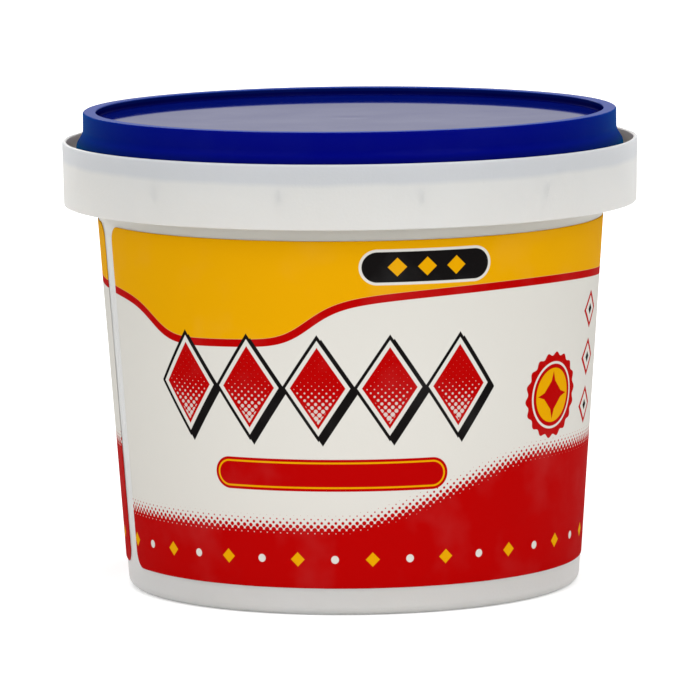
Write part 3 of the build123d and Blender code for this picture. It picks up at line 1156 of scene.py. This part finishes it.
def printFoot(sheet):
    # Red foot with a halftone fringe, and in it yellow diamonds and white discs by turns.
    above = sheet.above(footEdge)
    fringe = sheet.dots((1 - above / artwork["foot"]["fringe"]).smaller(1))
    sheet.lay("red", fringe.larger((above - artwork["foot"]["lap"]).inside(artwork["soft"])))
    beads = artwork["beads"]
    cell = sheet.along / beads["pitch"]
    odd = (cell.math("FLOOR") / 2).fraction() * 2
    at, up = (cell.fraction() - 0.5) * beads["pitch"], sheet.height - beads["level"]
    sheet.fill("yellow", diamond(at, up, beads["half"], beads["half"]), 1 - odd)
    sheet.fill("film", at.hypot(up) - beads["disc"], odd)


def printBand(sheet):
    # Yellow band, and the red rule that follows its edge.
    above, half = sheet.above(bandEdge), artwork["rule"] / 2
    sheet.fill("red", abs(above + half) - half)
    sheet.fill("yellow", 0 - above)


def printDiamonds(sheet):
    # Row of large diamonds: shadow, black line, white line, red body with a halftone foot.
    row = artwork["diamonds"]
    at, up = sheet.near(row)
    for shift in (row["shadow"], 0):
        nearest, within = inRow(at - shift, row)
        edge = diamond(nearest, up + shift, row["half"], row["tall"])
        sheet.fill("black", edge - row["black"], within)
    sheet.fill("film", edge - row["white"], within)
    sheet.fill("red", edge - row["red"], within)
    tint = sheet.dots((0.15 - up / row["tall"] * 0.75).clamped())
    sheet.fill("film", edge - row["clear"], within, tint, 0.8)


def printPlate(sheet):
    # Bare red plate with round ends and a yellow line inside it.
    plate = artwork["plate"]
    edge = roundedBox(*sheet.near(plate), plate["half"], plate["tall"], plate["tall"])
    sheet.fill("red", edge)
    sheet.fill("yellow", abs(edge + plate["inset"]) - plate["line"] / 2)


def printBadge(sheet):
    # Black badge with round ends, a white margin and three small diamonds.
    badge = artwork["badge"]
    at, up = sheet.near(badge)
    edge = roundedBox(at, up, badge["half"], badge["tall"], badge["tall"])
    sheet.fill("film", edge - badge["margin"])
    sheet.fill("black", edge)
    nearest, within = inRow(at, badge)
    sheet.fill("yellow", diamond(nearest, up, badge["gem"], badge["gem"]), within)


def printSeal(sheet):
    # Round seal, whose edge waves by a sine: a white ring, and a yellow middle with a star, which
    # is a square diamond and two long ones crossed.
    seal = artwork["seal"]
    at, up = sheet.near(seal)
    away = at.hypot(up)
    wave = (at.math("ARCTAN2", up) * seal["scallops"]).math("SINE") * seal["scallop"]
    edge = away - seal["radius"] - wave
    core, long, thin = seal["star"]
    star = diamond(at, up, thin, long).smaller(diamond(at, up, long, thin))
    sheet.fill("film", edge - seal["margin"])
    sheet.fill("red", edge)
    sheet.fill("film", abs(away - seal["ring"]) - seal["line"] / 2)
    sheet.fill("yellow", away - seal["middle"])
    sheet.fill("red", star.smaller(diamond(at, up, core, core)))


def printSmallDiamonds(sheet):
    # Column of small diamonds at the far right, and a framed row of them at the back.
    box, gem = artwork["backFrame"], artwork["gem"]
    for motif in (artwork["column"], artwork["backRow"]):
        at, up = sheet.near(motif)
        run, beside = (up, at) if motif is artwork["column"] else (at, up)
        nearest, within = inRow(run, motif)
        edge = diamond(nearest, beside, motif["half"], motif["half"])
        sheet.fill("red", abs(edge + gem["line"] / 2) - gem["line"] / 2, within)
        sheet.fill("black", edge + gem["middle"], within)
    edge = roundedBox(at, up, box["half"], box["tall"], box["rounding"])
    sheet.fill("yellow", abs(edge) - box["line"] / 2)


def labelFilm():
    # A film with its print, one layer over the other, and faint waves and grain over it all.
    shader = newShader("labelFilm")
    sheet = Sheet(shader)
    printFoot(sheet)
    printBand(sheet)
    printDiamonds(sheet)
    printPlate(sheet)
    printBadge(sheet)
    printSeal(sheet)
    printSmallDiamonds(sheet)
    place = shader.place()
    waves = shader.noise(place, 90, 3)
    grain = shader.noise(place, 2200, 2)
    return shader.finish(
        Base_Color=shader.mix(sheet.colour, (0.5, 0.5, 0.5), ((waves - 0.5) * 0.08).clamped()),
        Roughness=0.34 + 0.10 * (waves - 0.5) + 0.06 * (grain - 0.5),
        Normal=shader.bump(waves * 1.2 + grain * 0.2, 0.06 * mm),
        Specular_IOR_Level=0.0,
        Coat_Weight=0.03,
        Coat_Roughness=0.2,
    )


makeCamera()
makeStudio()
milky = tubPlastic()
makeTub(milky)
makeTab(milky)
makeLid(lidDull(), lidPolished())
makeLabel(labelFilm())
makePaste(pasteWhite())

bpy.context.view_layer.update()
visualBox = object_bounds()
boxes = (np.round(np.array(c) / mm, 2) for c in (*cadBox, *visualBox))
print("boxes in mm, solids then visual:", *boxes)
